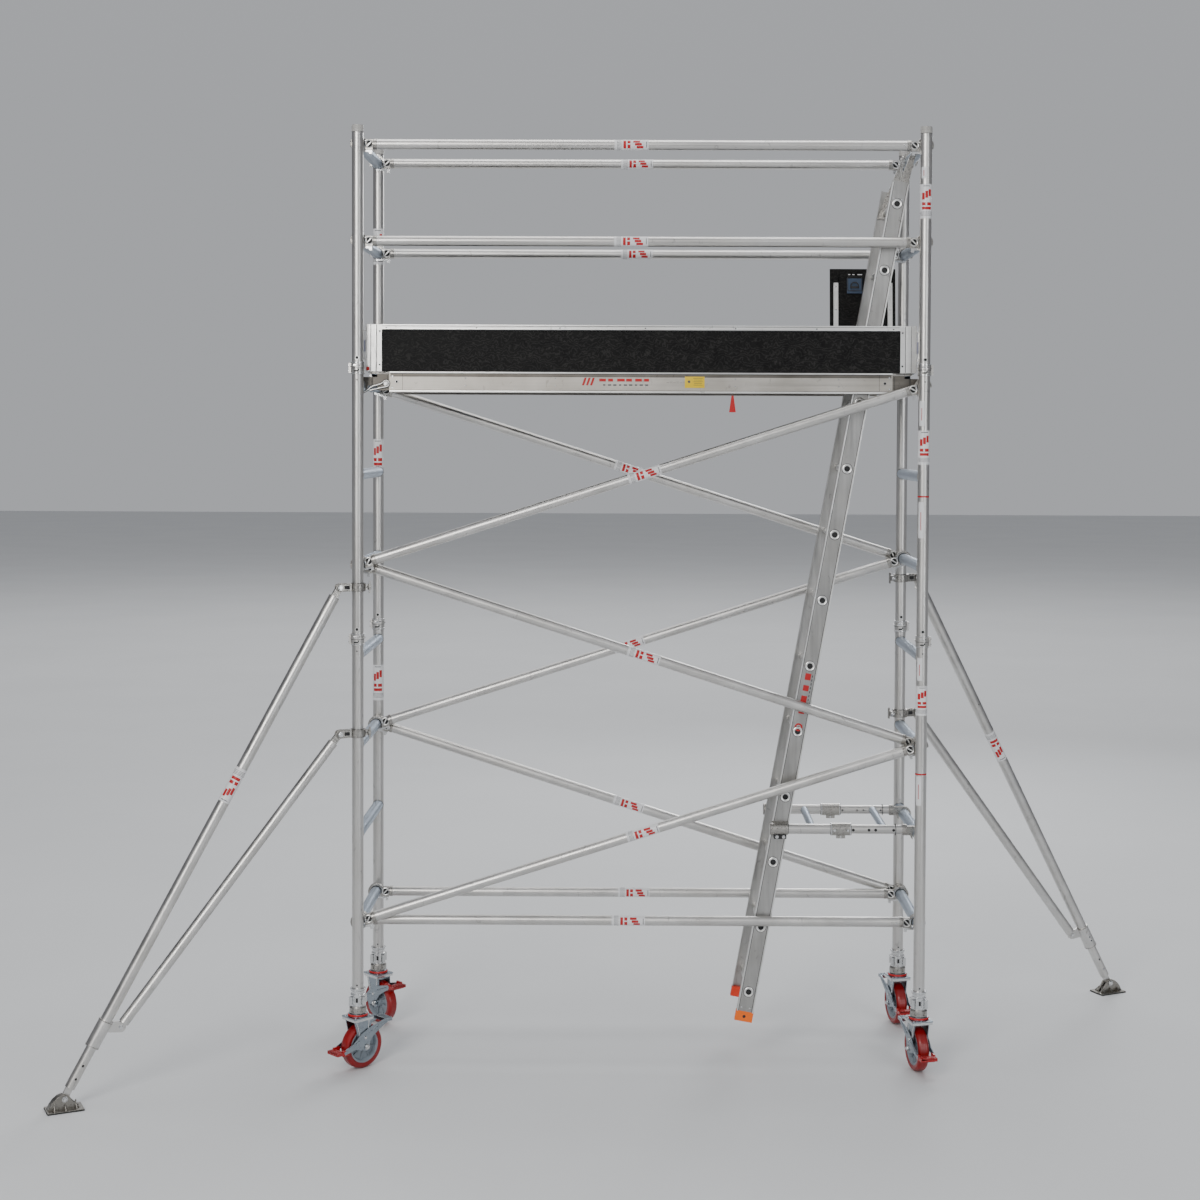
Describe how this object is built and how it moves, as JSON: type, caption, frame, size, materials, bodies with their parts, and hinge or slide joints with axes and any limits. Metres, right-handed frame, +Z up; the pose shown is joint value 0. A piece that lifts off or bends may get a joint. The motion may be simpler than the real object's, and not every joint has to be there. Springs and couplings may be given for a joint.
{
  "type": "mobile tower scaffold",
  "caption": "Mobile aluminium access tower with a toe-boarded platform and hatch, an inclined ladder through it, castors with brakes, and telescopic outriggers.",
  "frame": {"origin": "on the floor, at the middle of the four standards, which is also the bottom centre of the whole object", "axes": "+X along the bay towards the hatch end, +Y across the tower away from the front face, +Z up"},
  "size_m": [4.9778, 1.9742, 4.188],
  "materials": {
    "aluminium_tube": "mill satin",
    "cast_aluminium": "cast, tumbled",
    "zinc_steel": "zinc plated",
    "film_faced_ply": "black phenolic film",
    "castor_tread": "moulded polyurethane",
    "brake_red": "gloss paint",
    "orange_plastic": "moulded",
    "red_plastic": "moulded",
    "latch_plastic": "moulded",
    "cap_plastic": "moulded"
  },
  "bodies": {
    "tower": {"adjuster_nuts": "zinc_steel", "back_braces": "aluminium_tube", "base_frame_left": "aluminium_tube", "base_frame_right": "aluminium_tube", "brace_claws": "cast_aluminium", "deck_panel": "film_faced_ply", "frame_collars": "cast_aluminium", "frame_spigots": "aluminium_tube", "front_braces": "aluminium_tube", "guard_frame_left": "aluminium_tube", "guard_frame_right": "aluminium_tube", "guardrails": "aluminium_tube", "hatch_hinge": "aluminium_tube", "ladder_bracket_clamps": "cast_aluminium", "ladder_bracket_tubes": "aluminium_tube", "ladder_feet": "orange_plastic", "ladder_hooks": "cast_aluminium", "ladder_rungs": "aluminium_tube", "ladder_stiles": "aluminium_tube", "mid_frame_left": "aluminium_tube", "mid_frame_right": "aluminium_tube", "platform_beam_back": "aluminium_tube", "platform_beam_front": "aluminium_tube", "platform_crossbars": "aluminium_tube", "platform_fittings": "cast_aluminium", "standard_caps": "cap_plastic", "toe_board_frames": "aluminium_tube", "toe_board_panels": "film_faced_ply"},
    "castor_stem_fl": {"castor_stem_fl": "zinc_steel"},
    "castor_fork_fl": {"castor_fork_fl": "zinc_steel"},
    "castor_wheel_fl": {"castor_wheel_fl": "castor_tread"},
    "castor_brake_fl": {"castor_brake_fl": "brake_red"},
    "castor_stem_fr": {"castor_stem_fr": "zinc_steel"},
    "castor_fork_fr": {"castor_fork_fr": "zinc_steel"},
    "castor_wheel_fr": {"castor_wheel_fr": "castor_tread"},
    "castor_brake_fr": {"castor_brake_fr": "brake_red"},
    "castor_stem_bl": {"castor_stem_bl": "zinc_steel"},
    "castor_fork_bl": {"castor_fork_bl": "zinc_steel"},
    "castor_wheel_bl": {"castor_wheel_bl": "castor_tread"},
    "castor_brake_bl": {"castor_brake_bl": "brake_red"},
    "castor_stem_br": {"castor_stem_br": "zinc_steel"},
    "castor_fork_br": {"castor_fork_br": "zinc_steel"},
    "castor_wheel_br": {"castor_wheel_br": "castor_tread"},
    "castor_brake_br": {"castor_brake_br": "brake_red"},
    "outrigger_front": {"outrigger_frame_front": "aluminium_tube"},
    "outrigger_leg_front": {"outrigger_leg_front": "aluminium_tube"},
    "outrigger_foot_front": {"outrigger_foot_front": "cast_aluminium"},
    "outrigger_back": {"outrigger_frame_back": "aluminium_tube"},
    "outrigger_leg_back": {"outrigger_leg_back": "aluminium_tube"},
    "outrigger_foot_back": {"outrigger_foot_back": "cast_aluminium"},
    "hatch_lid": {"hatch_lid": "film_faced_ply"},
    "hatch_latch": {"hatch_latch": "latch_plastic"},
    "wind_lock_clip": {"wind_lock_clip": "zinc_steel"},
    "pull_tag": {"pull_tag": "red_plastic"},
    "triggers_level_left": {"triggers_level_left": "zinc_steel"},
    "triggers_level_right": {"triggers_level_right": "zinc_steel"},
    "triggers_rising_left": {"triggers_rising_left": "zinc_steel"},
    "triggers_rising_right": {"triggers_rising_right": "zinc_steel"},
    "triggers_falling_left": {"triggers_falling_left": "zinc_steel"},
    "triggers_falling_right": {"triggers_falling_right": "zinc_steel"}
  },
  "joints": [
    {"name": "leg_extend_fl", "type": "slide", "parent": "tower", "child": "castor_stem_fl", "axis": [0, 0, 1], "range_m": [-0.2, 0]},
    {"name": "castor_swivel_fl", "type": "hinge", "parent": "castor_stem_fl", "child": "castor_fork_fl", "pos_m": [-1.25, -0.35, 0.24], "axis": [0, 0, 1], "continuous": true},
    {"name": "wheel_spin_fl", "type": "hinge", "parent": "castor_fork_fl", "child": "castor_wheel_fl", "pos_m": [-1.23586, -0.33586, 0.1], "axis": [0.7071, -0.7071, 0], "continuous": true},
    {"name": "brake_fl", "type": "hinge", "parent": "castor_fork_fl", "child": "castor_brake_fl", "pos_m": [-1.24151, -0.34152, 0.143], "axis": [0.7071, -0.7071, 0], "range_deg": [-20, 0]},
    {"name": "leg_extend_fr", "type": "slide", "parent": "tower", "child": "castor_stem_fr", "axis": [0, 0, 1], "range_m": [-0.2, 0]},
    {"name": "castor_swivel_fr", "type": "hinge", "parent": "castor_stem_fr", "child": "castor_fork_fr", "pos_m": [1.25, -0.35, 0.24], "axis": [0, 0, 1], "continuous": true},
    {"name": "wheel_spin_fr", "type": "hinge", "parent": "castor_fork_fr", "child": "castor_wheel_fr", "pos_m": [1.24584, -0.33044, 0.1], "axis": [0.9781, 0.2079, 0], "continuous": true},
    {"name": "brake_fr", "type": "hinge", "parent": "castor_fork_fr", "child": "castor_brake_fr", "pos_m": [1.24751, -0.33826, 0.143], "axis": [0.9781, 0.2079, 0], "range_deg": [-20, 0]},
    {"name": "leg_extend_bl", "type": "slide", "parent": "tower", "child": "castor_stem_bl", "axis": [0, 0, 1], "range_m": [-0.2, 0]},
    {"name": "castor_swivel_bl", "type": "hinge", "parent": "castor_stem_bl", "child": "castor_fork_bl", "pos_m": [-1.25, 0.35, 0.24], "axis": [0, 0, 1], "continuous": true},
    {"name": "wheel_spin_bl", "type": "hinge", "parent": "castor_fork_bl", "child": "castor_wheel_bl", "pos_m": [-1.23586, 0.33586, 0.1], "axis": [-0.7071, -0.7071, 0], "continuous": true},
    {"name": "brake_bl", "type": "hinge", "parent": "castor_fork_bl", "child": "castor_brake_bl", "pos_m": [-1.24151, 0.34152, 0.143], "axis": [-0.7071, -0.7071, 0], "range_deg": [-20, 0]},
    {"name": "leg_extend_br", "type": "slide", "parent": "tower", "child": "castor_stem_br", "axis": [0, 0, 1], "range_m": [-0.2, 0]},
    {"name": "castor_swivel_br", "type": "hinge", "parent": "castor_stem_br", "child": "castor_fork_br", "pos_m": [1.25, 0.35, 0.24], "axis": [0, 0, 1], "continuous": true},
    {"name": "wheel_spin_br", "type": "hinge", "parent": "castor_fork_br", "child": "castor_wheel_br", "pos_m": [1.24584, 0.36956, 0.1], "axis": [0.9781, 0.2079, 0], "continuous": true},
    {"name": "brake_br", "type": "hinge", "parent": "castor_fork_br", "child": "castor_brake_br", "pos_m": [1.24751, 0.36174, 0.143], "axis": [0.9781, 0.2079, 0], "range_deg": [-20, 0]},
    {"name": "outrigger_swing_front", "type": "hinge", "parent": "tower", "child": "outrigger_front", "pos_m": [-1.25, -0.35, 1.8], "axis": [0, 0, 1], "range_deg": [-45, 60]},
    {"name": "outrigger_extend_front", "type": "slide", "parent": "outrigger_front", "child": "outrigger_leg_front", "axis": [-0.4442, -0.2167, -0.8693], "range_m": [-0.12, 0.3]},
    {"name": "foot_tilt_front", "type": "hinge", "parent": "outrigger_leg_front", "child": "outrigger_foot_front", "pos_m": [-2.40046, -0.91112, 0.05], "axis": [0.4384, -0.8988, 0], "range_deg": [-25, 25]},
    {"name": "outrigger_swing_back", "type": "hinge", "parent": "tower", "child": "outrigger_back", "pos_m": [1.25, 0.35, 1.8], "axis": [0, 0, 1], "range_deg": [-45, 60]},
    {"name": "outrigger_extend_back", "type": "slide", "parent": "outrigger_back", "child": "outrigger_leg_back", "axis": [0.4442, 0.2167, -0.8693], "range_m": [-0.12, 0.3]},
    {"name": "foot_tilt_back", "type": "hinge", "parent": "outrigger_leg_back", "child": "outrigger_foot_back", "pos_m": [2.40046, 0.91112, 0.05], "axis": [-0.4384, 0.8988, 0], "range_deg": [-25, 25]},
    {"name": "hatch_hinge", "type": "hinge", "parent": "tower", "child": "hatch_lid", "pos_m": [1.05, 0.256, 3.113], "axis": [1, 0, 0], "range_deg": [0, 13]},
    {"name": "hatch_latch_slide", "type": "slide", "parent": "hatch_lid", "child": "hatch_latch", "axis": [0, 0.0962, 0.9954], "range_m": [0, 0.012]},
    {"name": "wind_clip_turn", "type": "hinge", "parent": "tower", "child": "wind_lock_clip", "pos_m": [-1.133, -0.287, 3.055], "axis": [0, 1, 0], "range_deg": [-60, 0]},
    {"name": "pull_tag_swing", "type": "hinge", "parent": "tower", "child": "pull_tag", "pos_m": [0.409, -0.274, 3.011], "axis": [0, 1, 0], "range_deg": [-60, 60]},
    {"name": "triggers_level_left_pull", "type": "slide", "parent": "tower", "child": "triggers_level_left", "axis": [1, 0, 0], "range_m": [0, 0.026], "stiffness_N_per_m": 900, "springref_m": -0.012},
    {"name": "triggers_level_right_pull", "type": "slide", "parent": "tower", "child": "triggers_level_right", "axis": [-1, 0, 0], "range_m": [0, 0.026], "stiffness_N_per_m": 900, "springref_m": -0.012},
    {"name": "triggers_rising_left_pull", "type": "slide", "parent": "tower", "child": "triggers_rising_left", "axis": [0.9524, 0, 0.3048], "range_m": [0, 0.026], "stiffness_N_per_m": 900, "springref_m": -0.012},
    {"name": "triggers_rising_right_pull", "type": "slide", "parent": "tower", "child": "triggers_rising_right", "axis": [-0.9524, 0, -0.3048], "range_m": [0, 0.026], "stiffness_N_per_m": 900, "springref_m": -0.012},
    {"name": "triggers_falling_left_pull", "type": "slide", "parent": "tower", "child": "triggers_falling_left", "axis": [0.9524, 0, -0.3048], "range_m": [0, 0.026], "stiffness_N_per_m": 900, "springref_m": -0.012},
    {"name": "triggers_falling_right_pull", "type": "slide", "parent": "tower", "child": "triggers_falling_right", "axis": [-0.9524, 0, 0.3048], "range_m": [0, 0.026], "stiffness_N_per_m": 900, "springref_m": -0.012}
  ]
}
